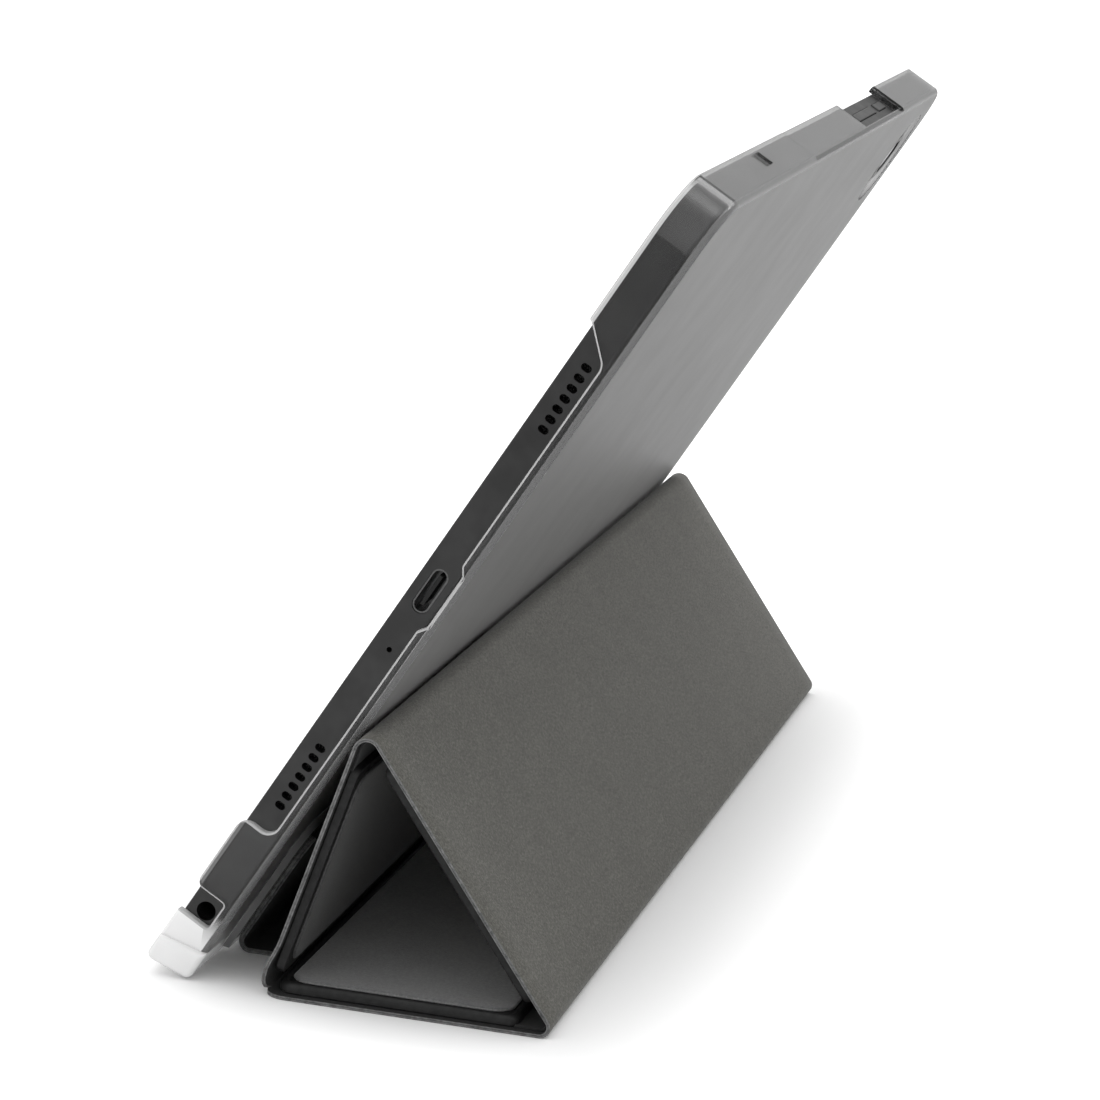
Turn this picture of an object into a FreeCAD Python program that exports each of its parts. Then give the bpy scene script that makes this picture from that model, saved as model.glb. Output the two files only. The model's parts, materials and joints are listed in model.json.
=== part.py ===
import FreeCAD, Part
import math
import os

# Clear-backed folding stand case for an 11-inch-class tablet, with the tablet fitted.
#
# Row frame (mm): +X runs along the long edge, towards the short edge that holds the
# ports; +Z is up; the screen faces -Y and the folded stand is on the +Y side. The origin
# is on the floor under the middle of the base panel, and z = 0 is the floor.
#
# The tablet and its shell are drawn lying flat, screen up, in "tablet space":
# x along the long edge, y from the lower long edge (y = 0) upwards, z from the middle of
# the tablet's thickness towards the screen. stand_up() leans them back and places them.

# ---------------------------------------------------------------- tablet
TAB_LEN = 257.1
TAB_WIDE = 168.7
TAB_THICK = 6.9
TAB_CORNER_R = 9.0
TAB_EDGE_R = 0.9
FRAME_WALL = 1.6
FRAME_FLOOR = 0.8
GLASS_THICK = 0.7
GLASS_INSET = 0.9
GLASS_GAP = 0.05
PANEL_THICK = 0.5
PANEL_BORDER = 5.0

FRONT_EDGE_R = 0.3
HOLE_WIDE = 1.35
HOLE_TALL = 2.0
HOLE_COUNT = 7
HOLE_PITCH = 2.22
SPEAKER_OFFSET = 42.4
USB_WIDE = 9.2
USB_TALL = 3.3
USB_DEEP = 7.0
USB_LIP = 0.3
MIC_Y = 71.2
MIC_R = 0.5
JACK_Y = 10.3
JACK_BORE_R = 1.8
JACK_OUTER_R = 2.2
JACK_LEN = 13.0

BUTTON_TALL = 2.1
BUTTON_PROUD = 0.35
BUTTON_GAP = 0.15
VOLUME_X = (-52.0, -30.0)
POWER_X = (-65.0, -56.0)

CAMERA_X = -112.5
CAMERA_Y = 152.5
CAMERA_RING_R = 6.4
CAMERA_LENS_R = 4.4
CAMERA_PROUD = 0.9

# ---------------------------------------------------------------- clear shell
SHELL_WALL = 1.6
SHELL_BACK = 1.3
SHELL_FIT = 0.1
SHELL_LIP = 0.8
SHELL_CORNER_R = 10.5
SHELL_FOOT_R = 3.5
SHELL_EDGE_R = 1.4
LIP_EDGE_R = 0.45
LEDGE_Z = -2.2
USB_NOTCH_Z = -3.3
JACK_NOTCH_Y = (8.3, 14.0)
LOWER_WALL_Y = 29.8
LEDGE_END_Y = 135.5
LEDGE_CURVE_R = 2.4
WALL_CORNER_R = 2.4
NOTCH_CORNER_R = 2.0
UPPER_WALL_Y = 141.0
USB_NOTCH_Y = (77.5, 92.0)
BUTTON_CUT_X = (-68.5, -24.0)
TOP_WINDOW_X = (71.5, 78.5)
TOP_WINDOW_Z = (-0.7, 2.7)
TOP_WINDOW_DEEP = 0.6
TOP_STEP_X = 41.0
TOP_STEP = 0.5
CAMERA_HOLE_R = 12.0
FOOT_BLOCK = 17.7
CUT_EDGE_R = 0.45
BUMPER_PROUD = 1.2
BUMPER_FRONT_Y = (-2.9, 2.2)
BUMPER_BACK_Y = (-1.6, 4.4)
BUMPER_EDGE_R = 1.0
PAD_RISE = 1.2
PAD_HALF = 116.0
PAD_TOP_Y = 29.5
PAD_CORNER_R = 7.0
PAD_FLANK = 1.15

# ---------------------------------------------------------------- cover
COVER_LEN = 268.0
SKIN = 0.7
SHEET_LINING = 0.3
SHEET = SKIN + SHEET_LINING
BOARD = 1.8
FACE = 0.5
PANEL = SKIN + BOARD + FACE
BOARD_INSET = 1.6
FACE_INSET = 3.4
COVER_CORNER_R = 5.0
SPINE_LEN = 223.2
STRIP_TOP_Y = 26.0
STRIP_CORNER_R = 6.0
GLUE = 0.05
MAGNET = (22.0, 5.0, 1.0)
MAGNET_X = (-95.0, 0.0, 95.0)
MAGNET_CLEAR = 0.05
MAGNET_SETBACK = 6.0

# ---------------------------------------------------------------- stance
LEAN = 59.5
HINGE_BEHIND = 5.7
SPINE_SPAN = 13.3
SPINE_BEND = 3.0
A_SKIN_OFFSET = 0.5
RIDGE_R = 2.7
BASE_R = 2.0
RIDGE_ABOVE_FLOOR = 47.4
RIDGE_FROM_SHELL = 0.33
BASE_FROM_RIDGE = 34.4
BOARD_SETBACK = 4.2
SKIN_GAP = 0.15
A_SKIN_START = 1.3
A_BOARD_START = 4.4
B_EDGE_GAP = 0.35
SPINE_END_GAP = 1.3


def unit(angle_deg):
    """Unit vector (y, z) at an angle from +Y towards +Z."""
    a = math.radians(angle_deg)
    return math.cos(a), math.sin(a)


def step(point, angle_deg, distance):
    """Point reached from a (y, z) point along a direction."""
    c, s = unit(angle_deg)
    return point[0] + distance * c, point[1] + distance * s


BACK_Z = TAB_THICK / 2 + SHELL_BACK
FOOT_RISE = (SHELL_WALL * math.sin(math.radians(LEAN))
             + BACK_Z * math.cos(math.radians(LEAN)))


def behind_to_y(behind, z):
    """y of the point at height z that lies a given distance behind the tablet."""
    s = math.sin(math.radians(LEAN))
    c = math.cos(math.radians(LEAN))
    return (behind + (z - FOOT_RISE) * c) / s


STRIP_BEHIND = BACK_Z + PAD_RISE + GLUE
SPINE_MID_Z = SHEET / 2
STRIP_CORNER = (behind_to_y(STRIP_BEHIND + SHEET / 2, SPINE_MID_Z), SPINE_MID_Z)
BACK_HINGE = (behind_to_y(HINGE_BEHIND, SPINE_MID_Z), SPINE_MID_Z)
FRONT_HINGE = (BACK_HINGE[0] + SPINE_SPAN, SPINE_MID_Z)
RIDGE = (behind_to_y(BACK_Z + RIDGE_FROM_SHELL + RIDGE_R, RIDGE_ABOVE_FLOOR),
         RIDGE_ABOVE_FLOOR)
BASE = (RIDGE[0] + BASE_FROM_RIDGE, BASE_R)


def tangent_angle(start, start_r, end, end_r):
    """Direction of the line that keeps start_r and end_r to its right."""
    dy, dz = end[0] - start[0], end[1] - start[1]
    span = math.hypot(dy, dz)
    return math.degrees(math.atan2(dz, dy) + math.asin((end_r - start_r) / span))


A_DIR = tangent_angle(FRONT_HINGE, A_SKIN_OFFSET, RIDGE, RIDGE_R)
C_DIR = tangent_angle(RIDGE, RIDGE_R, BASE, BASE_R)
B_DIR = -180.0


def along(start, end, direction):
    """Length from start to end measured along a direction."""
    c, s = unit(direction)
    return (end[0] - start[0]) * c + (end[1] - start[1]) * s


A_SPAN = along(FRONT_HINGE, RIDGE, A_DIR)
C_SPAN = along(RIDGE, BASE, C_DIR)


def a_skin_inside_y(z):
    """y of the inside of panel A's skin at height z."""
    inner = step(FRONT_HINGE, A_DIR + 90.0, A_SKIN_OFFSET - SKIN)
    return inner[0] + (z - inner[1]) / math.tan(math.radians(A_DIR))


B_EDGE_Y = a_skin_inside_y(PANEL) + B_EDGE_GAP
B_SPAN = BASE[0] - B_EDGE_Y
ORIGIN_Y = (B_EDGE_Y + BASE[0]) / 2


# ---------------------------------------------------------------- drawing helpers
def outline(points):
    """Closed wire through (a, b, r) points in the XY plane, each corner rounded by r."""
    edges = []
    ends = []
    count = len(points)
    for i, (a, b, r) in enumerate(points):
        p = FreeCAD.Vector(a, b, 0)
        if r <= 0:
            ends.append((p, p))
            continue
        before = FreeCAD.Vector(points[i - 1][0], points[i - 1][1], 0) - p
        after_point = points[(i + 1) % count]
        after = FreeCAD.Vector(after_point[0], after_point[1], 0) - p
        before.normalize()
        after.normalize()
        half = before.getAngle(after) / 2
        reach = r / math.tan(half)
        middle = before + after
        middle.normalize()
        start = p + before * reach
        finish = p + after * reach
        crown = p + middle * (r / math.sin(half) - r)
        edges.append((i, Part.Arc(start, crown, finish).toShape()))
        ends.append((start, finish))
    pieces = []
    arcs = dict(edges)
    for i in range(count):
        if i in arcs:
            pieces.append(arcs[i])
        leave = ends[i][1]
        arrive = ends[(i + 1) % count][0]
        if leave.distanceToPoint(arrive) > 1e-6:
            pieces.append(Part.makeLine(leave, arrive))
    return Part.Wire(pieces)


def plan(points, z0, z1):
    """Solid from an outline in the XY plane, between two heights."""
    solid = Part.Face(outline(points)).extrude(FreeCAD.Vector(0, 0, z1 - z0))
    solid.translate(FreeCAD.Vector(0, 0, z0))
    return solid


def section(points, x0, x1):
    """Solid from an outline of (y, z, r) points, between two x positions."""
    solid = Part.Face(outline(points)).extrude(FreeCAD.Vector(0, 0, x1 - x0))
    turn = FreeCAD.Rotation(FreeCAD.Vector(1, 1, 1), 120)
    solid.Placement = FreeCAD.Placement(FreeCAD.Vector(x0, 0, 0), turn)
    return solid


def rectangle(a0, a1, b0, b1, r=0.0):
    """Corner points of a rectangle whose corners share one radius."""
    return [(a0, b0, r), (a1, b0, r), (a1, b1, r), (a0, b1, r)]


def box(x0, x1, y0, y1, z0, z1):
    """Plain box between two corners."""
    return Part.makeBox(x1 - x0, y1 - y0, z1 - z0, FreeCAD.Vector(x0, y0, z0))


def rod_x(y, z, r, x0, x1):
    """Cylinder along +X."""
    return Part.makeCylinder(r, x1 - x0, FreeCAD.Vector(x0, y, z), FreeCAD.Vector(1, 0, 0))


def rod_z(x, y, r, z0, z1):
    """Cylinder along +Z."""
    return Part.makeCylinder(r, z1 - z0, FreeCAD.Vector(x, y, z0), FreeCAD.Vector(0, 0, 1))


def slot_x(y, z, wide, tall, x0, x1):
    """Long-round bar along +X, wide in y and tall in z."""
    r = min(wide, tall) / 2 - 0.001
    return section(rectangle(y - wide / 2, y + wide / 2, z - tall / 2, z + tall / 2, r),
                   x0, x1)


def edges_at_z(solid, z):
    """Edges that lie flat at one height."""
    found = []
    for edge in solid.Edges:
        box_ = edge.BoundBox
        if abs(box_.ZMin - z) < 1e-4 and abs(box_.ZMax - z) < 1e-4:
            found.append(edge)
    return found


def stand_up(solid):
    """Tablet space to row space: lean back, lift on to the floor, move to the origin."""
    moved = solid.copy()
    moved.rotate(FreeCAD.Vector(0, 0, 0), FreeCAD.Vector(1, 0, 0), LEAN)
    moved.translate(FreeCAD.Vector(0, -ORIGIN_Y, FOOT_RISE))
    return moved


def on_floor(solid):
    """Section space to row space."""
    moved = solid.copy()
    moved.translate(FreeCAD.Vector(0, -ORIGIN_Y, 0))
    return moved


# ---------------------------------------------------------------- tablet pieces
HALF_LEN = TAB_LEN / 2
HALF_THICK = TAB_THICK / 2
SIDE_IN = HALF_LEN - FRAME_WALL
TOP_IN = TAB_WIDE - FRAME_WALL
GLASS_Z = HALF_THICK - GLASS_THICK
PANEL_Z = GLASS_Z - PANEL_THICK


def tablet_plan(inset, z0, z1):
    """Slab with the tablet's outline, drawn in by an inset."""
    r = TAB_CORNER_R - inset
    return plan(rectangle(-HALF_LEN + inset, HALF_LEN - inset, inset, TAB_WIDE - inset, r),
                z0, z1)


def speaker_rows():
    """y positions of the two rows of speaker holes."""
    rows = []
    for side in (-1, 1):
        middle = TAB_WIDE / 2 + side * SPEAKER_OFFSET
        rows.append([middle + (i - (HOLE_COUNT - 1) / 2) * HOLE_PITCH
                     for i in range(HOLE_COUNT)])
    return rows


def tablet_body():
    """One-piece metal back and side frame, with its port holes and button slots."""
    body = tablet_plan(0.0, -HALF_THICK, HALF_THICK)
    body = body.makeFillet(TAB_EDGE_R, edges_at_z(body, -HALF_THICK))
    body = body.makeFillet(FRONT_EDGE_R, edges_at_z(body, HALF_THICK))
    tools = [
        tablet_plan(GLASS_INSET, GLASS_Z - GLASS_GAP, HALF_THICK + 1),
        tablet_plan(FRAME_WALL, -HALF_THICK + FRAME_FLOOR, HALF_THICK),
        slot_x(TAB_WIDE / 2, 0, USB_WIDE, USB_TALL, SIDE_IN - 1, HALF_LEN + 1),
        rod_x(MIC_Y, 0, MIC_R, SIDE_IN - 1, HALF_LEN + 1),
        rod_x(JACK_Y, 0, JACK_BORE_R, SIDE_IN - 1, HALF_LEN + 1),
        rod_z(CAMERA_X, CAMERA_Y, CAMERA_RING_R - 1.0, -HALF_THICK - 1, 0),
    ]
    for row in speaker_rows():
        for y in row:
            for x0, x1 in ((SIDE_IN - 1, HALF_LEN + 1), (-HALF_LEN - 1, -SIDE_IN + 1)):
                tools.append(slot_x(y, 0, HOLE_WIDE, HOLE_TALL, x0, x1))
    for x0, x1 in (VOLUME_X, POWER_X):
        tall = BUTTON_TALL / 2 + BUTTON_GAP
        tools.append(box(x0 - BUTTON_GAP, x1 + BUTTON_GAP, TOP_IN - 1, TAB_WIDE + 1,
                         -tall, tall))
    return stand_up(body.cut(tools))


def display_glass():
    """Cover glass, set into the frame with its top edge rounded."""
    inset = GLASS_INSET + GLASS_GAP
    glass = tablet_plan(inset, GLASS_Z, HALF_THICK)
    return stand_up(glass.makeFillet(0.3, edges_at_z(glass, HALF_THICK)))


def display_panel():
    """Display panel behind the glass."""
    x = HALF_LEN - PANEL_BORDER
    slab = box(-x, x, PANEL_BORDER, TAB_WIDE - PANEL_BORDER, PANEL_Z, GLASS_Z - GLASS_GAP)
    return stand_up(slab)


def battery():
    """Flat battery pouch in the middle of the body."""
    z0 = -HALF_THICK + FRAME_FLOOR + 0.1
    return stand_up(plan(rectangle(-70, 70, 22, 136, 2.0), z0, PANEL_Z - 0.2))


def main_board():
    """Circuit board along the upper edge, stopping short of the camera and buttons."""
    z0 = -HALF_THICK + FRAME_FLOOR + 0.4
    board = box(-90, 96, 141, 160, z0, z0 + 0.8)
    chips = [box(x, x + 16, 144, 157, z0 + 0.8, z0 + 2.0) for x in (-60, -30, 10, 50)]
    return stand_up(board.multiFuse(chips))


def usb_shell():
    """Metal shell of the charging port, open at the tablet's edge."""
    x1 = HALF_LEN - USB_LIP
    outer = slot_x(TAB_WIDE / 2, 0, USB_WIDE - 0.1, USB_TALL - 0.1, x1 - USB_DEEP, x1)
    inner = slot_x(TAB_WIDE / 2, 0, USB_WIDE - 0.7, USB_TALL - 0.7, x1 - USB_DEEP + 0.5,
                   x1 + 1)
    return stand_up(outer.cut(inner))


def usb_tongue():
    """Contact tongue in the middle of the charging port."""
    x1 = HALF_LEN - USB_LIP - 0.6
    x0 = HALF_LEN - USB_LIP - USB_DEEP + 0.55
    y = TAB_WIDE / 2
    return stand_up(box(x0, x1, y - 3.2, y + 3.2, -0.35, 0.35))


def jack_barrel():
    """Sleeve of the headphone socket."""
    x1 = SIDE_IN - 0.05
    outer = rod_x(JACK_Y, 0, JACK_OUTER_R, x1 - JACK_LEN, x1)
    outer = outer.fuse(box(x1 - JACK_LEN, x1 - 2, JACK_Y - 2.5, JACK_Y + 2.5, -2.3, 1.5))
    return stand_up(outer.cut(rod_x(JACK_Y, 0, JACK_BORE_R, x1 - JACK_LEN - 1, x1 + 1)))


def speaker_modules():
    """Four speaker boxes behind the rows of holes."""
    boxes = []
    for side in (-1, 1):
        for row in speaker_rows():
            x = side * (SIDE_IN - 8.0)
            middle = (row[0] + row[-1]) / 2
            boxes.append(box(x - 7, x + 7, middle - 11, middle + 11, -2.4, PANEL_Z - 0.2))
    return stand_up(Part.makeCompound(boxes))


def speaker_meshes():
    """Fine mesh strips on the inside of each row of holes."""
    strips = []
    for side in (-1, 1):
        for row in speaker_rows():
            x = side * (SIDE_IN - 0.2)
            strips.append(box(x - 0.15, x + 0.15, row[0] - 1.6, row[-1] + 1.6, -1.3, 1.3))
    return stand_up(Part.makeCompound(strips))


def button(x_range):
    """Side key: a rounded cap in the slot, with a wider flange inside the frame."""
    x0, x1 = x_range
    tall = BUTTON_TALL / 2
    cap = box(x0, x1, TOP_IN - 0.9, TAB_WIDE + BUTTON_PROUD, -tall, tall)
    cap = cap.makeFillet(0.3, [e for e in cap.Edges
                               if e.BoundBox.YMin > TAB_WIDE + BUTTON_PROUD - 0.01])
    flange = box(x0 - 0.8, x1 + 0.8, TOP_IN - 0.9, TOP_IN - 0.15, -tall - 0.1, tall + 0.1)
    return stand_up(cap.fuse(flange))


def camera_ring():
    """Metal ring around the rear camera, standing proud of the back."""
    z0 = -HALF_THICK - CAMERA_PROUD
    ring = rod_z(CAMERA_X, CAMERA_Y, CAMERA_RING_R, z0, -HALF_THICK)
    ring = ring.makeChamfer(0.35, edges_at_z(ring, z0))
    neck = rod_z(CAMERA_X, CAMERA_Y, CAMERA_RING_R - 1.05, -HALF_THICK - 0.1, -1.2)
    ring = ring.fuse(neck)
    return stand_up(ring.cut(rod_z(CAMERA_X, CAMERA_Y, CAMERA_LENS_R, z0 - 1, 0)))


def camera_lens():
    """Cover glass of the rear camera, just below the ring's face."""
    z0 = -HALF_THICK - CAMERA_PROUD + 0.2
    return stand_up(rod_z(CAMERA_X, CAMERA_Y, CAMERA_LENS_R - 0.05, z0, z0 + 0.7))


def camera_module():
    """Camera block behind its cover glass."""
    z0 = -HALF_THICK - CAMERA_PROUD + 0.95
    return stand_up(rod_z(CAMERA_X, CAMERA_Y, CAMERA_LENS_R - 0.3, z0, 0.6))


# ---------------------------------------------------------------- clear shell
def shell_outline(grow, foot_r, top_r):
    """Outline of the shell, grown from the tablet's; the foot corners are squarer."""
    x = HALF_LEN + grow
    return [(-x, -grow, foot_r), (x, -grow, foot_r),
            (x, TAB_WIDE + grow, top_r), (-x, TAB_WIDE + grow, top_r)]


def side_cut(x0, x1, usb_notch):
    """Tool that lowers the wall of a short side down to a ledge along the ports."""
    high = HALF_THICK + SHELL_LIP + 2
    points = [(LOWER_WALL_Y, high, 0), (LOWER_WALL_Y, LEDGE_Z, LEDGE_CURVE_R)]
    if usb_notch:
        y0, y1 = USB_NOTCH_Y
        points += [(y0, LEDGE_Z, 1.2), (y0 + 1.6, USB_NOTCH_Z, 0.8),
                   (y1 - 1.6, USB_NOTCH_Z, 0.8), (y1, LEDGE_Z, 1.2)]
    points += [(LEDGE_END_Y, LEDGE_Z, 2.5), (UPPER_WALL_Y, 3.9, 1.6), (UPPER_WALL_Y, high, 0)]
    return section(points, x0, x1)


def corner_cut(y, toward, radius, x0, x1):
    """Tool that rounds the upper corner of a side wall's end. The wall ends at y and
    lies towards +1 or -1 of it."""
    top = HALF_THICK + SHELL_LIP
    middle = y + toward * radius
    y0, y1 = sorted((middle, y - toward * 0.5))
    block = box(x0, x1, y0, y1, top - radius, top + 0.5)
    return block.cut(rod_x(middle, top - radius, radius, x0 - 1, x1 + 1))


def strip_bed(z0):
    """Raised bed with sloping flanks, for the strip of cover glued to the back."""
    base, top = z0 + 0.2, z0 - PAD_RISE
    bed = plan([(-PAD_HALF, 1.0, 0), (PAD_HALF, 1.0, 0), (PAD_HALF, PAD_TOP_Y, PAD_CORNER_R),
                (-PAD_HALF, PAD_TOP_Y, PAD_CORNER_R)], top, base)
    flanks = [e for e in edges_at_z(bed, top) if e.BoundBox.YMax > 1.01]
    return bed.makeChamfer(PAD_FLANK, flanks)


def foot_bumper(side):
    """Solid block at one end of the shell's foot. It is deeper at the front than at the
    back, and its lower part stands proud of the end wall."""
    face = HALF_LEN + SHELL_WALL + BUMPER_PROUD
    front, back = HALF_THICK + SHELL_LIP, -BACK_Z
    points = [(BUMPER_FRONT_Y[0], front, 1.2), (BUMPER_FRONT_Y[1], front, 0),
              (BUMPER_BACK_Y[1], back, 0), (BUMPER_BACK_Y[0], back, 1.4)]
    ends = sorted((side * (face - BUMPER_PROUD - FOOT_BLOCK), side * face))
    block = section(points, *ends)
    rim = [e for e in block.Edges
           if abs(e.BoundBox.XMin - side * face) < 1e-4
           and abs(e.BoundBox.XMax - side * face) < 1e-4]
    return block.makeFillet(BUMPER_EDGE_R, rim)


def side_cut_edges(shell):
    """Outer edges left by the cut-outs in the two short side walls."""
    outer = HALF_LEN + SHELL_WALL
    low, high = JACK_NOTCH_Y[0] - 0.1, UPPER_WALL_Y + 0.1
    found = []
    for edge in shell.Edges:
        b = edge.BoundBox
        on_face = abs(abs(b.XMin) - outer) < 1e-4 and abs(b.XMax - b.XMin) < 1e-4
        if on_face and b.YMin > low and b.YMax < high and b.ZMax < 3.9 and b.ZMin > -3.34:
            found.append(edge)
    return found


def clear_shell():
    """Clear rigid back tray with cut-outs for ports, keys and camera."""
    z0 = -BACK_Z
    z1 = HALF_THICK + SHELL_LIP
    shell = plan(shell_outline(SHELL_WALL, SHELL_FOOT_R, SHELL_CORNER_R), z0, z1)
    shell = shell.makeFillet(SHELL_EDGE_R, edges_at_z(shell, z0))
    shell = shell.makeFillet(LIP_EDGE_R, edges_at_z(shell, z1))
    pocket = plan(shell_outline(SHELL_FIT, TAB_CORNER_R, TAB_CORNER_R + SHELL_FIT),
                  -HALF_THICK - 0.02, z1 + 1)
    shell = shell.multiFuse([strip_bed(z0), foot_bumper(1), foot_bumper(-1)])
    out = HALF_LEN + SHELL_WALL + 1
    open_x = HALF_LEN + SHELL_WALL - FOOT_BLOCK
    tools = [
        pocket,
        box(-open_x, open_x, BUMPER_FRONT_Y[0] - 1, 0.45, z0 - 1, z1 + 1),
        section(rectangle(JACK_NOTCH_Y[0], JACK_NOTCH_Y[1], LEDGE_Z, z1 + 1, 0.6),
                HALF_LEN - 1, out),
        side_cut(HALF_LEN - 1, out, True),
        side_cut(-out, -HALF_LEN + 1, False),
        box(BUTTON_CUT_X[0], BUTTON_CUT_X[1], TAB_WIDE - 1, TAB_WIDE + SHELL_WALL + 1,
            -HALF_THICK + 0.2, z1 + 1),
        box(TOP_WINDOW_X[0], TOP_WINDOW_X[1], TAB_WIDE + SHELL_WALL - TOP_WINDOW_DEEP,
            TAB_WIDE + SHELL_WALL + 1, TOP_WINDOW_Z[0], TOP_WINDOW_Z[1]),
        box(BUTTON_CUT_X[0] - 1, TOP_STEP_X, TAB_WIDE + SHELL_WALL - TOP_STEP,
            TAB_WIDE + SHELL_WALL + 1, z0 - 1, z1 + 1),
        rod_z(CAMERA_X, CAMERA_Y, CAMERA_HOLE_R, z0 - 1, 0),
    ]
    shell = shell.cut(tools)
    shell = shell.makeFillet(CUT_EDGE_R, side_cut_edges(shell))
    corners = [
        corner_cut(LOWER_WALL_Y, -1, WALL_CORNER_R, HALF_LEN - 1, out),
        corner_cut(LOWER_WALL_Y, -1, WALL_CORNER_R, -out, -HALF_LEN + 1),
        corner_cut(JACK_NOTCH_Y[1], 1, NOTCH_CORNER_R, HALF_LEN - 1, out),
    ]
    return stand_up(shell.cut(corners))


# ---------------------------------------------------------------- cover pieces
def slab(start, direction, reach, left, thick, half_len, corners=(0.0, 0.0)):
    """Flat panel layer. It runs from reach[0] to reach[1] along a direction from a start
    point, its left face lies `left` to the left of that line, and it is `thick` thick
    towards the right. corners gives the plan radii at the near and far ends."""
    near_r, far_r = corners
    layer = plan([(-half_len, reach[0], near_r), (half_len, reach[0], near_r),
                  (half_len, reach[1], far_r), (-half_len, reach[1], far_r)],
                 left - thick, left)
    layer.rotate(FreeCAD.Vector(0, 0, 0), FreeCAD.Vector(1, 0, 0), direction)
    layer.translate(FreeCAD.Vector(0, start[0], start[1]))
    return layer


def bend(centre, outer_r, thick, from_deg, to_deg, half_len):
    """Curved strip round a fold, from one angle to another about its centre."""
    mid_deg = (from_deg + to_deg) / 2
    inner_r = outer_r - thick

    def at(radius, angle_deg):
        y, z = step(centre, angle_deg, radius)
        return FreeCAD.Vector(0, y, z)

    wedge = [
        Part.Arc(at(outer_r, from_deg), at(outer_r, mid_deg), at(outer_r, to_deg)).toShape(),
        Part.makeLine(at(outer_r, to_deg), at(inner_r, to_deg)),
        Part.Arc(at(inner_r, to_deg), at(inner_r, mid_deg), at(inner_r, from_deg)).toShape(),
        Part.makeLine(at(inner_r, from_deg), at(outer_r, from_deg)),
    ]
    strip = Part.Face(Part.Wire(wedge)).extrude(FreeCAD.Vector(2 * half_len, 0, 0))
    strip.translate(FreeCAD.Vector(-half_len, 0, 0))
    return strip


HALF_COVER = COVER_LEN / 2
HALF_SPINE = SPINE_LEN / 2


class Panel:
    """One stiff panel of the cover: where it starts, its direction and its reaches."""

    def __init__(self, start, direction, left, skin, board, magnets_at, corners):
        self.start = start
        self.direction = direction
        self.left = left
        self.skin_reach = skin
        self.board_reach = board
        self.magnets_at = magnets_at
        self.corners = corners

    def skin(self):
        """Suede-like outer skin."""
        near, far = self.corners
        return on_floor(slab(self.start, self.direction, self.skin_reach, self.left, SKIN,
                             HALF_COVER, (near, far)))

    def magnets(self, clear=0.0):
        """Flat bar magnets sealed in the board."""
        long, wide, thick = MAGNET
        middle = self.left - SKIN - BOARD / 2
        bars = []
        for x in MAGNET_X:
            bar = box(x - long / 2 - clear, x + long / 2 + clear,
                      self.magnets_at - wide / 2 - clear, self.magnets_at + wide / 2 + clear,
                      middle - thick / 2 - clear, middle + thick / 2 + clear)
            bar.rotate(FreeCAD.Vector(0, 0, 0), FreeCAD.Vector(1, 0, 0), self.direction)
            bar.translate(FreeCAD.Vector(0, self.start[0], self.start[1]))
            bars.append(bar)
        return on_floor(Part.makeCompound(bars))

    def board(self):
        """Stiffening board in its dark edge wrap."""
        near, far = self.corners
        solid = slab(self.start, self.direction, self.board_reach, self.left - SKIN, BOARD,
                     HALF_COVER - BOARD_INSET, (max(near, 2.0), max(far, 2.0)))
        solid = on_floor(solid)
        if self.magnets_at is not None:
            solid = solid.cut(self.magnets(MAGNET_CLEAR))
        return solid

    def face(self):
        """Soft inner lining face, set in from the board's edges."""
        inset = FACE_INSET - BOARD_INSET
        reach = (self.board_reach[0] + inset, self.board_reach[1] - inset)
        return on_floor(slab(self.start, self.direction, reach, self.left - SKIN - BOARD,
                             FACE, HALF_COVER - FACE_INSET, (2.5, 2.5)))


PANEL_A = Panel(FRONT_HINGE, A_DIR, A_SKIN_OFFSET,
                (A_SKIN_START, A_SPAN),
                (A_BOARD_START, A_SPAN - BOARD_SETBACK),
                A_BOARD_START + MAGNET_SETBACK, (0.0, 0.0))
PANEL_C = Panel(RIDGE, C_DIR, RIDGE_R,
                (SKIN_GAP, C_SPAN),
                (BOARD_SETBACK, C_SPAN - BOARD_SETBACK),
                None, (0.0, 0.0))
PANEL_B = Panel(BASE, B_DIR, BASE_R,
                (SKIN_GAP, B_SPAN),
                (BOARD_SETBACK, B_SPAN - 0.8),
                B_SPAN - MAGNET_SETBACK, (0.0, COVER_CORNER_R))


def ridge_fold_skin():
    """Skin bent round the ridge between panels A and C."""
    return on_floor(bend(RIDGE, RIDGE_R, SKIN, C_DIR + 90.0, A_DIR + 90.0, HALF_COVER))


def ridge_fold_lining():
    """Lining bent round the inside of the ridge."""
    return on_floor(bend(RIDGE, RIDGE_R - SKIN - 0.02, FACE, C_DIR + 92.0, A_DIR + 88.0,
                         HALF_COVER - BOARD_INSET))


def base_fold_skin():
    """Skin bent round the rear floor fold between panels C and B."""
    return on_floor(bend(BASE, BASE_R, SKIN, B_DIR + 90.0, C_DIR + 90.0, HALF_COVER))


def base_fold_lining():
    """Lining bent round the inside of the rear floor fold."""
    return on_floor(bend(BASE, BASE_R - SKIN - 0.02, FACE, B_DIR + 92.0, C_DIR + 88.0,
                         HALF_COVER - BOARD_INSET))


def strip_skin():
    """Skin of the strip that is glued to the back of the shell."""
    z1 = -STRIP_BEHIND - SHEET_LINING
    y0 = strip_start()
    return stand_up(plan([(-HALF_SPINE, y0, 0), (HALF_SPINE, y0, 0),
                          (HALF_SPINE, STRIP_TOP_Y, STRIP_CORNER_R),
                          (-HALF_SPINE, STRIP_TOP_Y, STRIP_CORNER_R)],
                         z1 - SKIN, z1))


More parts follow.
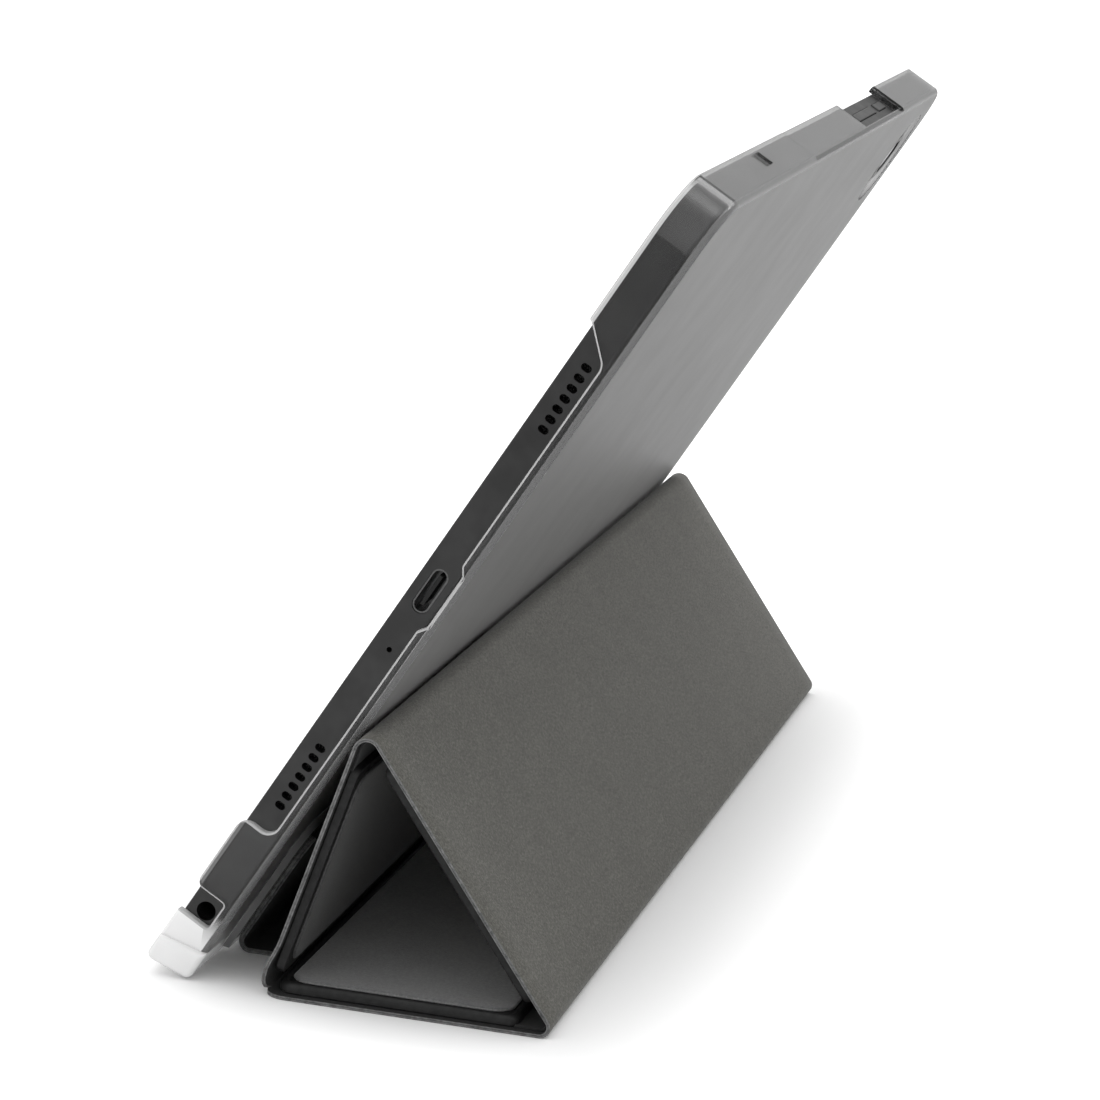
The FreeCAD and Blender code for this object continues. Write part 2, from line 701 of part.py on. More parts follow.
def strip_lining():
    """Lining side of the glued strip."""
    y0 = strip_start()
    x = HALF_SPINE - 0.6
    top = STRIP_TOP_Y - 0.6
    return stand_up(plan([(-x, y0, 0), (x, y0, 0), (x, top, STRIP_CORNER_R),
                          (-x, top, STRIP_CORNER_R)],
                         -STRIP_BEHIND - SHEET_LINING, -STRIP_BEHIND))


def strip_start():
    """Height up the tablet at which the glued strip leaves its lower bend."""
    up = along((0.0, FOOT_RISE), STRIP_CORNER, LEAN)
    return up + SPINE_BEND


def spine_layer(z0, z1, half_len):
    """Flat layer of the spine, lying on the floor behind the shell's foot."""
    y0 = STRIP_CORNER[0] + SPINE_BEND + SKIN_GAP
    y1 = FRONT_HINGE[0] - SPINE_END_GAP
    return on_floor(box(-half_len, half_len, y0, y1, z0, z1))


def spine_skin():
    """Skin of the spine; it faces up while the cover is folded behind."""
    return spine_layer(SHEET_LINING, SHEET, HALF_SPINE)


def spine_lining():
    """Lining of the spine; it lies on the floor while the cover is folded behind."""
    return spine_layer(0.0, SHEET_LINING, HALF_SPINE)


def foot_bend(outer_r, thick):
    """Strip bent round the shell's foot, between the glued strip and the spine."""
    radius = SPINE_BEND * math.tan(math.radians(LEAN / 2))
    centre = (STRIP_CORNER[0] + SPINE_BEND, STRIP_CORNER[1] + radius)
    return on_floor(bend(centre, radius + outer_r, thick, LEAN + 90.0, 270.0, HALF_SPINE))


def foot_fold_skin():
    """Skin on the inside of the foot bend."""
    return foot_bend(SHEET / 2 - SHEET_LINING, SKIN)


def foot_fold_lining():
    """Lining on the outside of the foot bend."""
    return foot_bend(SHEET / 2, SHEET_LINING)


def heel_fold_skin():
    """Short bend that joins the spine to panel A's skin."""
    radius = SPINE_END_GAP * math.tan(math.radians(90.0 - A_DIR / 2)) - 0.25
    centre = (FRONT_HINGE[0] - SPINE_END_GAP + 0.02, FRONT_HINGE[1] + radius)
    return on_floor(bend(centre, radius + 0.45, SKIN, 272.0, 270.0 + A_DIR - 18.0, HALF_SPINE))


# ---------------------------------------------------------------- write the pieces
NODES = {
    "clear_shell": clear_shell,
    "tablet_body": tablet_body,
    "display_glass": display_glass,
    "display_panel": display_panel,
    "battery": battery,
    "main_board": main_board,
    "usb_shell": usb_shell,
    "usb_tongue": usb_tongue,
    "jack_barrel": jack_barrel,
    "speaker_modules": speaker_modules,
    "speaker_meshes": speaker_meshes,
    "camera_ring": camera_ring,
    "camera_lens": camera_lens,
    "camera_module": camera_module,
    "volume_key": lambda: button(VOLUME_X),
    "power_key": lambda: button(POWER_X),
    "strip_skin": strip_skin,
    "strip_lining": strip_lining,
    "foot_fold_skin": foot_fold_skin,
    "foot_fold_lining": foot_fold_lining,
    "spine_skin": spine_skin,
    "spine_lining": spine_lining,
    "heel_fold_skin": heel_fold_skin,
    "panel_a_skin": PANEL_A.skin,
    "panel_a_board": PANEL_A.board,
    "panel_a_face": PANEL_A.face,
    "panel_a_magnets": PANEL_A.magnets,
    "ridge_fold_skin": ridge_fold_skin,
    "ridge_fold_lining": ridge_fold_lining,
    "panel_c_skin": PANEL_C.skin,
    "panel_c_board": PANEL_C.board,
    "panel_c_face": PANEL_C.face,
    "base_fold_skin": base_fold_skin,
    "base_fold_lining": base_fold_lining,
    "panel_b_skin": PANEL_B.skin,
    "panel_b_board": PANEL_B.board,
    "panel_b_face": PANEL_B.face,
    "panel_b_magnets": PANEL_B.magnets,
}

os.makedirs("parts", exist_ok=True)
for name, build in NODES.items():
    build().exportStep("parts/" + name + ".step")
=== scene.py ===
import json
import math

import bmesh
import bpy
from mathutils import Matrix, Vector, noise


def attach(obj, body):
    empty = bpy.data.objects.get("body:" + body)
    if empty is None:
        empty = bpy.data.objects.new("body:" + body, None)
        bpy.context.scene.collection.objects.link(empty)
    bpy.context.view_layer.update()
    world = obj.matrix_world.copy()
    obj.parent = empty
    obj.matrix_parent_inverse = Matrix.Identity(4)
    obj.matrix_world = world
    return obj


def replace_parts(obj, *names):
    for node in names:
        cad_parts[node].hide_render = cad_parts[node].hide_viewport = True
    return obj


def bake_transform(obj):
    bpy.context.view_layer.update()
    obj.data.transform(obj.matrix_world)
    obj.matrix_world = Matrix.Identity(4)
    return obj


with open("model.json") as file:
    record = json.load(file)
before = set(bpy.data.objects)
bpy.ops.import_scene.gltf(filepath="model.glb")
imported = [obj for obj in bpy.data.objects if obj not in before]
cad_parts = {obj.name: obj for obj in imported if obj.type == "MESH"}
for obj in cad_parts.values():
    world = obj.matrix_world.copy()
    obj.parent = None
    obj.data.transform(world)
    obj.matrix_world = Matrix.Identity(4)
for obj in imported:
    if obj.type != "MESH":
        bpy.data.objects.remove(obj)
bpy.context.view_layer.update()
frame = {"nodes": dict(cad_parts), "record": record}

# Visual model of the clear-backed folding stand case. Lengths named here are in
# millimetres, like the CAD source, and mm() turns a (x, y, z) in millimetres into a
# point of the row frame in metres. +X is the short edge with the ports.

# ---------------------------------------------------------------- section of the cover
# (y, z) of the fold centres and the direction of each panel, as in the CAD source.
LEAN = 59.5
FRONT_HINGE = (-26.235, 0.5)
RIDGE = (-9.494, 47.4)
RIDGE_R = 2.7
BASE = (24.906, 2.0)
BASE_R = 2.0
A_DIR = 72.889
C_DIR = -53.553
B_DIR = -180.0
A_OFFSET = 0.5
A_SPAN = 49.749
C_SPAN = 56.956
B_SPAN = 49.811

SKIN = 0.7
BOARD = 1.8
FACE = 0.5
HALF_COVER = 134.0
BOARD_INSET = 1.6
FACE_INSET = 3.4
BOARD_SETBACK = 4.2
A_BOARD_START = 4.4
HALF_SPINE = 111.6
TABLET_FOOT = (-44.212, 3.789)
STRIP_OUT = 7.0
STRIP_TOP = 26.0
STRIP_BOTTOM = 3.0
STRIP_CORNER_R = 6.0
FOOT_BEND_R = 1.715
SPINE_TOP_Z = 1.0
SPINE_END_Y = -27.5
COVER_CORNER_R = 4.0
LOW_CORNER_R = 2.2
B_UNDER_A = 1.2

# Two bonded layers make the skin, with a hairline between them at the cut edge. The
# backing is cut a little shorter than the outer layer.
OUTER_LAYER = 0.37
LAYER_GAP = 0.025
BACKING_INSET = 0.06
FOOT_SHEET = 1.0
HEEL_SHEET = 0.6
LINING = 0.45
LINING_GAP = 0.02

# The outer skin is two pieces, which meet this far above the rear floor fold.
SPLIT_ABOVE_FOLD = 6.0
# Low on panel A the skin bulges over the heel, centred HEEL_UP along the panel, and its
# cut end curls in under it.
A_SKIN_START = 3.2
HEEL_BULGE = 0.7
HEEL_UP = 5.0
HEEL_SPREAD = 3.2
HEEL_CURL = [(-25.55, 1.15), (-25.95, 1.75), (-26.2, 2.45), (-26.3, 3.1)]


def mm(x, y, z):
    """Point of the row frame, in metres, from millimetres."""
    return Vector((x, y, z)) * 0.001


def unit(angle_deg):
    """Unit vector (y, z) at an angle from +Y towards +Z."""
    a = math.radians(angle_deg)
    return math.cos(a), math.sin(a)


def offset(point, angle_deg, distance):
    """Point reached from a (y, z) point along a direction."""
    c, s = unit(angle_deg)
    return point[0] + distance * c, point[1] + distance * s


def line(start, end, count):
    """count + 1 evenly spaced (y, z) points from start to end."""
    return [(start[0] + (end[0] - start[0]) * i / count,
             start[1] + (end[1] - start[1]) * i / count) for i in range(count + 1)]


def arc(centre, radius, from_deg, to_deg, count):
    """count + 1 (y, z) points on an arc."""
    return [offset(centre, from_deg + (to_deg - from_deg) * i / count, radius)
            for i in range(count + 1)]


def joined(*runs):
    """One path from several, without repeating the points where they meet."""
    path = []
    for run in runs:
        for point in run:
            if not path or math.dist(path[-1], point) > 1e-4:
                path.append(point)
    return path


# ---------------------------------------------------------------- node materials
class Finish:
    """A Principled material with helpers for procedural detail in object space."""

    def __init__(self, name, **values):
        self.material = bpy.data.materials.new(name)
        self.material.use_nodes = True
        self.tree = self.material.node_tree
        self.shader = self.tree.nodes["Principled BSDF"]
        self.coords = self.tree.nodes.new("ShaderNodeTexCoord")
        self.bumps = None
        for key, value in values.items():
            self.shader.inputs[key.replace("_", " ")].default_value = value

    def link(self, source, target):
        """Joins an output socket to an input socket."""
        self.tree.links.new(source, target)

    def placed(self, stretch):
        """Object coordinates, stretched along the axes."""
        mapping = self.tree.nodes.new("ShaderNodeMapping")
        mapping.inputs["Scale"].default_value = stretch
        self.link(self.coords.outputs["Object"], mapping.inputs["Vector"])
        return mapping.outputs["Vector"]

    def noise(self, size_mm, detail=3.0, roughness=0.55, stretch=(1, 1, 1)):
        """Noise whose features are about size_mm across."""
        node = self.tree.nodes.new("ShaderNodeTexNoise")
        node.inputs["Scale"].default_value = 1000.0 / size_mm
        node.inputs["Detail"].default_value = detail
        node.inputs["Roughness"].default_value = roughness
        self.link(self.placed(stretch), node.inputs["Vector"])
        return node.outputs["Fac"]

    def along(self, direction):
        """Distance along a direction, in metres."""
        node = self.tree.nodes.new("ShaderNodeVectorMath")
        node.operation = "DOT_PRODUCT"
        node.inputs[1].default_value = direction
        self.link(self.coords.outputs["Object"], node.inputs[0])
        return node.outputs["Value"]

    def cells(self, size_mm):
        """Distance to the nearest cell centre, for pebbled grain."""
        node = self.tree.nodes.new("ShaderNodeTexVoronoi")
        node.inputs["Scale"].default_value = 1000.0 / size_mm
        self.link(self.placed((1, 1, 1)), node.inputs["Vector"])
        return node.outputs["Distance"]

    def math(self, operation, a, b):
        """Two values combined; each is a socket or a number."""
        node = self.tree.nodes.new("ShaderNodeMath")
        node.operation = operation
        for socket, value in zip(node.inputs, (a, b)):
            if isinstance(value, (int, float)):
                socket.default_value = value
            else:
                self.link(value, socket)
        return node.outputs[0]

    def ramp(self, factor, stops):
        """Colour ramp through (position, grey or colour) stops."""
        node = self.tree.nodes.new("ShaderNodeValToRGB")
        elements = node.color_ramp.elements
        while len(elements) < len(stops):
            elements.new(0.5)
        for element, (position, tone) in zip(elements, stops):
            colour = (tone, tone, tone) if isinstance(tone, float) else tone
            element.position = position
            element.color = (*colour, 1.0)
        self.link(factor, node.inputs["Fac"])
        return node.outputs["Color"]

    def colour(self, factor, stops):
        """Base colour that follows a factor through ramp stops."""
        self.link(self.ramp(factor, stops), self.shader.inputs["Base Color"])

    def roughness(self, factor, low, high):
        """Roughness that wanders between two values, over the span that noise covers."""
        node = self.tree.nodes.new("ShaderNodeMapRange")
        node.inputs["From Min"].default_value = 0.3
        node.inputs["From Max"].default_value = 0.7
        node.inputs["To Min"].default_value = low
        node.inputs["To Max"].default_value = high
        self.link(factor, node.inputs["Value"])
        self.link(node.outputs["Result"], self.shader.inputs["Roughness"])

    def bump(self, height, depth_mm, strength=1.0):
        """Adds relief of about depth_mm; later calls stack on earlier ones."""
        node = self.tree.nodes.new("ShaderNodeBump")
        node.inputs["Distance"].default_value = depth_mm * 0.001
        node.inputs["Strength"].default_value = strength
        self.link(height, node.inputs["Height"])
        if self.bumps is not None:
            self.link(self.bumps, node.inputs["Normal"])
        self.bumps = node.outputs["Normal"]
        self.link(self.bumps, self.shader.inputs["Normal"])


def suede():
    """Short-nap suede-like skin: speckled taupe with soft mottling."""
    f = Finish("suede", Roughness=0.92, Sheen_Weight=0.16, Sheen_Roughness=0.45)
    nap = f.noise(0.5, 3.0, 0.8)
    mottle = f.noise(9.0, 2.0, 0.5)
    both = f.math("ADD", f.math("MULTIPLY", nap, 0.94), f.math("MULTIPLY", mottle, 0.06))
    f.colour(both, [(0.36, (0.044, 0.043, 0.036)), (0.5, (0.072, 0.070, 0.060)),
                    (0.64, (0.122, 0.119, 0.103))])
    f.bump(nap, 0.12, 0.75)
    f.bump(f.noise(2.4, 2.0), 0.08, 0.2)
    return f.material


def cut_suede():
    """Bare cut edge of the skin: compressed pale grey fibre."""
    f = Finish("suede_cut_edge", Roughness=0.8)
    fibre = f.noise(0.3, 3.0, 0.7, (1.0, 0.35, 0.35))
    f.colour(fibre, [(0.35, 0.07), (0.65, 0.17)])
    f.bump(fibre, 0.05, 0.5)
    return f.material


def face_cloth(name, dark, middle, light, sheen):
    """Soft dark inner lining with a fine brushed grain."""
    f = Finish(name, Roughness=0.44, Sheen_Weight=sheen, Sheen_Roughness=0.4)
    grain = f.noise(0.45, 4.0, 0.7, (0.6, 1.0, 1.0))
    broad = f.noise(16.0, 2.0)
    both = f.math("ADD", f.math("MULTIPLY", grain, 0.8), f.math("MULTIPLY", broad, 0.2))
    f.colour(both, [(0.35, dark), (0.52, middle), (0.68, light)])
    f.bump(grain, 0.08, 0.55)
    return f.material


def board_wrap():
    """Thin black wrap on the board edges, slightly pebbled."""
    f = Finish("board_wrap", Roughness=0.5)
    f.colour(f.noise(1.2), [(0.3, 0.010), (0.7, 0.019)])
    f.roughness(f.noise(3.0), 0.42, 0.62)
    f.bump(f.cells(0.35), 0.025, 0.35)
    return f.material


def fold_lining():
    """Black lining in the folds, creased along the fold."""
    f = Finish("fold_lining", Roughness=0.75, Sheen_Weight=0.1)
    creases = f.noise(0.9, 3.0, 0.6, (0.08, 1.0, 1.0))
    f.colour(creases, [(0.3, 0.006), (0.7, 0.015)])
    f.bump(creases, 0.12, 0.5)
    return f.material


# Clearness of the shell against height up the tablet's back, in metres.
CLEARNESS = [(0.006, 0.14), (0.0105, 0.985)]
PLASTIC_IOR = 1.47


def clear_plastic():
    """Polished clear moulding with faint haze, turning milky in the thick foot."""
    f = Finish("clear_plastic", IOR=PLASTIC_IOR)
    foot = TABLET_FOOT[0] * unit(LEAN)[0] + TABLET_FOOT[1] * unit(LEAN)[1]
    up = f.math("SUBTRACT", f.along((0.0, *unit(LEAN))), foot * 0.001)
    clarity = f.ramp(up, CLEARNESS)
    f.link(clarity, f.shader.inputs["Transmission Weight"])
    f.colour(f.noise(30.0, 2.0), [(0.3, 0.90), (0.7, 0.94)])
    f.roughness(f.noise(18.0, 3.0), 0.06, 0.10)
    return f.material


def hazed_plastic(name, clear, tone, rough):
    """The same moulding, less clear and paler: on rounded edges as painted highlight, and
    in the foot block, the pad and the back.
    """
    f = Finish(name, IOR=PLASTIC_IOR, Transmission_Weight=clear)
    f.colour(f.noise(12.0, 2.0), [(0.35, tone * 0.95), (0.65, tone)])
    f.roughness(f.noise(14.0, 3.0), rough, rough + 0.04)
    return f.material


def tablet_metal(name, dark, light):
    """Blasted and anodised metal, too fine-grained to show relief."""
    f = Finish(name, Metallic=1.0)
    f.colour(f.noise(6.0, 2.0), [(0.35, dark), (0.65, light)])
    f.roughness(f.noise(5.0, 2.0), 0.36, 0.44)
    return f.material


def screen_glass():
    """Black cover glass with faint smudges."""
    f = Finish("screen_glass", IOR=1.52, Coat_Weight=0.6, Coat_Roughness=0.03)
    f.colour(f.noise(40.0, 2.0), [(0.4, 0.0035), (0.6, 0.006)])
    f.roughness(f.noise(22.0, 4.0, 0.6), 0.03, 0.12)
    return f.material


def moulded(name, dark, light):
    """Plain moulded or printed matt piece with fine grain."""
    f = Finish(name)
    f.colour(f.noise(3.0, 3.0), [(0.35, dark), (0.65, light)])
    f.roughness(f.noise(2.0), 0.45, 0.6)
    f.bump(f.noise(0.5, 2.0), 0.02, 0.4)
    return f.material


def bare_metal(name, dark, light, rough, stretch=(1, 1, 1)):
    """Turned, plated or brushed metal piece."""
    f = Finish(name, Metallic=1.0)
    scratches = f.noise(0.4, 3.0, 0.6, stretch)
    f.colour(scratches, [(0.35, dark), (0.65, light)])
    f.roughness(scratches, *rough)
    f.bump(scratches, 0.01, 0.35)
    return f.material


def woven_mesh():
    """Fine blackened wire mesh."""
    f = Finish("woven_mesh", Metallic=1.0, Roughness=0.5)
    holes = f.cells(0.28)
    f.colour(holes, [(0.25, 0.10), (0.5, 0.004)])
    f.bump(holes, 0.05, 0.8)
    return f.material


def lens_glass():
    """Dark coated lens cover."""
    f = Finish("lens_glass", IOR=1.6, Coat_Weight=1.0, Coat_Roughness=0.02)
    f.colour(f.noise(4.0), [(0.4, (0.004, 0.005, 0.010)), (0.6, (0.008, 0.008, 0.016))])
    f.roughness(f.noise(3.0), 0.03, 0.08)
    return f.material


def backing_and_painted_shade_suede():
    """The same skin, near-black: the thin backing's own black, and painted shade where the
    outer layer lines the folded foot and heel.
    """
    f = Finish("suede_backing_and_painted_shade", Roughness=0.95, Sheen_Weight=0.05)
    nap = f.noise(0.55, 4.0, 0.7)
    f.colour(nap, [(0.35, 0.006), (0.65, 0.014)])
    f.bump(nap, 0.1, 0.6)
    return f.material


# The numbers after a finish's name are its tones from dark to light, then its sheen or
# roughness. For the shell's finishes they are its clearness, tone and roughness.
SUEDE = suede()
SUEDE_CUT = cut_suede()
# Near-black suede: the backing's own black, and painted shade on the foot and heel sheets.
BACKING_AND_PAINTED_SHADE_SUEDE = backing_and_painted_shade_suede()
FACE_CLOTH = face_cloth("face_cloth", 0.029, 0.048, 0.082, 0.15)
# The base panel's paler tones are painted light for the sheen from the stand's open ends.
PAINTED_LIGHT_BASE_CLOTH = face_cloth("face_cloth_base_painted_light", 0.10, 0.15, 0.22, 0.6)
BOARD_WRAP = board_wrap()
FOLD_LINING = fold_lining()
CLEAR = clear_plastic()
SHELL_FINISHES = {
    "clear": CLEAR,
    # The rim and edge finishes are milky white as painted highlight on rounded and cut faces.
    "rim": hazed_plastic("clear_plastic_rim_painted_highlight", 0.55, 0.86, 0.16),
    "edge": hazed_plastic("clear_plastic_edge_painted_highlight", 0.86, 0.82, 0.16),
    "pad": hazed_plastic("clear_plastic_pad", 0.50, 0.45, 0.20),
    "foot": hazed_plastic("clear_plastic_foot", 0.12, 0.84, 0.14),
    "back": hazed_plastic("clear_plastic_back", 0.60, 0.34, 0.30),
}

NODE_MATERIALS = {
    "clear_plastic": CLEAR,
    "tablet_metal": tablet_metal("tablet_metal", 0.135, 0.16),
    "key_metal": tablet_metal("key_metal", 0.16, 0.19),
    "screen_glass": screen_glass(),
    "panel_film": moulded("panel_film", 0.02, 0.035),
    "cell_wrap": moulded("cell_wrap", 0.09, 0.13),
    "board_green": moulded("board_green", (0.02, 0.06, 0.035), (0.035, 0.09, 0.06)),
    "port_steel": bare_metal("port_steel", 0.30, 0.42, (0.25, 0.4), stretch=(0.1, 1, 1)),
    "port_plastic": moulded("port_plastic", 0.010, 0.018),
    "mesh": woven_mesh(),
    "ring_metal": bare_metal("ring_metal", 0.16, 0.22, (0.25, 0.38)),
    "lens_glass": lens_glass(),
    "skin_suede": SUEDE,
    "lining_black": FOLD_LINING,
    "board_wrap": BOARD_WRAP,
    "face_micro": FACE_CLOTH,
    "magnet_steel": bare_metal("magnet_steel", 0.4, 0.5, (0.2, 0.35)),
}


def dress_cad_nodes():
    """Gives each carried-over CAD node the detailed material of its record slot."""
    for part in frame["record"]["subparts"]:
        mesh = frame["nodes"][part["node"]].data
        mesh.materials.clear()
        mesh.materials.append(NODE_MATERIALS[part["material_slot"]])


# ---------------------------------------------------------------- mesh helpers
CREASE_DEG = 35.0
SHEET_COLUMNS = 40


def new_object(name, bm, material):
    """Object made from a bmesh, with one material and shaded smooth below CREASE_DEG."""
    mesh = bpy.data.meshes.new(name)
    bm.to_mesh(mesh)
    bm.free()
    obj = bpy.data.objects.new(name, mesh)
    bpy.context.scene.collection.objects.link(obj)
    mesh.materials.append(material)
    mesh.shade_smooth()
    mesh.set_sharp_from_angle(angle=math.radians(CREASE_DEG))
    return obj


def skin_over(bm, loops):
    """Closes a stack of vertex loops into a solid, with its normals outwards."""
    count = len(loops[0])
    for a, b in zip(loops, loops[1:]):
        for i in range(count):
            j = (i + 1) % count
            bm.faces.new((a[i], a[j], b[j], b[i]))
    bm.faces.new(list(reversed(loops[0])))
    bm.faces.new(loops[-1])
    bmesh.ops.recalc_face_normals(bm, faces=bm.faces[:])


def edge_profile(half_len, thick, round_r):
    """Cross-section of a sheet across its width: (x, depth) points round a closed loop,
    flat on both faces and rounded at both cut edges."""
    flat = half_len - round_r
    diagonal = math.sqrt(0.5)
    steps = [-flat + 2 * flat * i / SHEET_COLUMNS for i in range(SHEET_COLUMNS + 1)]
    loop = [(x, 0.0) for x in steps]
    loop.append((flat + round_r * diagonal, round_r * (1 - diagonal)))
    loop.append((flat + round_r, thick / 2))
    loop.append((flat + round_r * diagonal, round_r * (1 + diagonal)))
    loop += [(-x, thick) for x in steps]
    loop.append((-flat - round_r * diagonal, thick - round_r * (1 - diagonal)))
    loop.append((-flat - round_r, thick / 2))
    loop.append((-flat - round_r * diagonal, round_r * (1 - diagonal)))
    return loop


def path_normals(path):
    """Unit normals to the left of a (y, z) path."""
    normals = []
    last = len(path) - 1
    for i in range(len(path)):
        a, b = path[max(i - 1, 0)], path[min(i + 1, last)]
        dy, dz = b[0] - a[0], b[1] - a[1]
        span = math.hypot(dy, dz)
        normals.append((-dz / span, dy / span))
    return normals


def path_lengths(path):
    """Distance along a path to each of its points."""
    lengths = [0.0]
    for a, b in zip(path, path[1:]):
        lengths.append(lengths[-1] + math.dist(a, b))
    return lengths


# How far a soft edge wanders, how steeply that fades towards the middle of the sheet,
# and how quickly it changes across and along it.
EDGE_RIPPLE = 0.05
EDGE_FADE = 9
EDGE_SEED = 3.0
RIPPLE_RATE = (0.045, 0.06)
# A cut edge is rounded by this share of the sheet's thickness, up to a largest radius.
EDGE_ROUND_SHARE = 0.42
EDGE_ROUND_MOST = 0.16


def waver(x, s, seed, amount):
    """Small smooth unevenness of a soft edge, the same every run."""
    return amount * noise.noise(Vector((x * RIPPLE_RATE[0], s * RIPPLE_RATE[1], seed)))


def corner_pull(to_end, corner_r):
    """How far a rounded corner draws the side in, at a distance from the sheet's end."""
    if to_end >= corner_r:
        return 0.0
    return corner_r - math.sqrt(max(corner_r ** 2 - (corner_r - to_end) ** 2, 0.0))


def sheet_layer(name, path, depth, thick, half_len, material, seed=0.0, corner_r=0.0,
                from_start=False):
    """One closed layer of sheet. The path is the outer face, and the layer lies between
    depth and depth + thick to the right of it. corner_r rounds its last end, or its
    first."""
    bm = bmesh.new()
    lengths = path_lengths(path)
    profile = edge_profile(half_len, thick, min(thick * EDGE_ROUND_SHARE, EDGE_ROUND_MOST))
    rings = []
    for point, normal, s in zip(path, path_normals(path), lengths):
        to_end = s if from_start else lengths[-1] - s
        narrowed = 1.0 - corner_pull(to_end, corner_r) / half_len
        ring = []
        for x, t in profile:
            edge = abs(waver(0.0, s, seed + EDGE_SEED, EDGE_RIPPLE) * (x / half_len) ** EDGE_FADE)
            out = min(waver(x, s, seed, EDGE_RIPPLE / 2), 0.0) - depth - t
            place = mm(x * narrowed - math.copysign(edge, x), point[0] + normal[0] * out,
                       point[1] + normal[1] * out)
            ring.append(bm.verts.new(place))
        rings.append(ring)
    skin_over(bm, rings)
    return new_object(name, bm, material)


def skin_sheet(name, path, half_len, corner_r=0.0, seed=0.0, thick=SKIN, dark=False,
               from_start=False):
    """Suede skin along a path, as two pieces: a napped outer layer and the thin black
    backing bonded to it. Where dark is set, the outer layer is near-black too, as painted
    shade."""
    shape = {"seed": seed, "corner_r": corner_r, "from_start": from_start}
    under = OUTER_LAYER + LAYER_GAP
    # With dark set, the outer layer takes the near-black suede as painted shade.
    outer = sheet_layer(name, path, 0.0, OUTER_LAYER, half_len,
                        BACKING_AND_PAINTED_SHADE_SUEDE if dark else SUEDE, **shape)
    backing = sheet_layer(name + "_backing", path, under, thick - under,
                          half_len - BACKING_INSET, BACKING_AND_PAINTED_SHADE_SUEDE, **shape)
    for layer in (outer, backing):
        bare_cut_edges(layer)
    return outer, backing


def bare_cut_edges(layer):
    """Gives the faces at a layer's two cut sides the bare fibre's finish."""
    layer.data.materials.append(SUEDE_CUT)
    for face in layer.data.polygons:
        if abs(face.normal.x) > 0.3:
            face.material_index = 1


def fit_sheets(layers, nodes):
    """Bakes each layer's placement into its mesh, and hides the CAD nodes that it
    replaces."""
    for layer in layers:
        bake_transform(layer)
        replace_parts(layer, *nodes)


CORNER_STEPS = 8
SHARPEST_CORNER = 0.12


def rounded_outline(half_x, s0, s1, radii, inset):
    """(x, s) points round a rectangle drawn in by inset. radii are for the s0 end and
    the s1 end; the count of points does not depend on the inset."""
    hx, a, b = half_x - inset, s0 + inset, s1 - inset
    r0, r1 = (max(r - inset, SHARPEST_CORNER) for r in radii)
    corners = [(hx - r0, a + r0, r0, -90.0), (hx - r1, b - r1, r1, 0.0),
               (-hx + r1, b - r1, r1, 90.0), (-hx + r0, a + r0, r0, 180.0)]
    points = []
    for cx, cs, r, start in corners:
        for i in range(CORNER_STEPS + 1):
            angle = math.radians(start + 90.0 * i / CORNER_STEPS)
            points.append((cx + r * math.cos(angle), cs + r * math.sin(angle)))
    return points


def ring_slab(name, start, direction, half_x, s0, s1, radii, rings, material):
    """Closed slab built from stacked outlines. Each ring is (inset, t), where t is the
    distance inside the panel's outer face, measured from start to the right."""
    along, out = unit(direction), unit(direction + 90.0)
    bm = bmesh.new()
    loops = []
    for inset, t in rings:
        loop = []
        for x, s in rounded_outline(half_x, s0, s1, radii, inset):
            y = start[0] + along[0] * s - out[0] * t
            z = start[1] + along[1] * s - out[1] * t
            loop.append(bm.verts.new(mm(x, y, z)))
        loops.append(loop)
    skin_over(bm, loops)
    return new_object(name, bm, material)


# ---------------------------------------------------------------- cover pieces
def panel_board(name, start, direction, left, s0, s1, radii):
    """Wrapped stiffener. The two sloping or lying rear panels have a rounded raised rim
    with a groove inside it; the panel that the tablet leans on is flat."""
    under = SKIN - left
    top = under + BOARD
    rings = [(0.35, under + 0.03), (0.0, under + 0.3), (0.0, top - 0.45), (0.12, top - 0.1)]
    if name == "board_a":
        rings += [(0.38, top - 0.02), (2.6, top)]
    else:
        rings += [(0.38, top + 0.16), (0.75, top + 0.3), (1.1, top + 0.28),
                  (1.4, top + 0.12), (1.62, top - 0.05), (1.85, top - 0.08),
                  (2.6, top - 0.04)]
    return ring_slab(name, start, direction, HALF_COVER - BOARD_INSET, s0, s1, radii, rings,
                     BOARD_WRAP)


def panel_face(name, start, direction, left, s0, s1):
    """Soft inner face, softly rounded down into the groove round it. The base panel's
    face has paler tones, painted light for the sheen it catches from the stand's open ends."""
    top = SKIN - left + BOARD
    inset = FACE_INSET - BOARD_INSET
    rings = [(0.1, top - 0.02), (0.0, top + 0.1), (0.05, top + 0.26), (0.2, top + 0.39),
             (0.5, top + 0.46), (1.2, top + 0.49), (3.5, top + FACE)]
    return ring_slab(name, start, direction, HALF_COVER - FACE_INSET, s0 + inset, s1 - inset,
                     (4.0, 4.0), rings, PAINTED_LIGHT_BASE_CLOTH if name == "face_b" else FACE_CLOTH)


# Places on the shell in the tablet's own axes: x, up the back from its foot, and behind
# its middle plane.
SHELL_BLOCK_X = 112.4
SHELL_BLOCK_TOP = 6.5
SHELL_PAD_DEEP = 4.85
SHELL_BACK_DEEP = 3.3
SHELL_LIP_DEEP = -4.0
SHELL_WALL_X = 128.6
SHELL_WALL_DEEP = 3.4
SHELL_CORNER = (119.5, 159.5)
CAMERA_HOLE = (-112.5, 152.5)
CAMERA_HOLE_R = 13.5


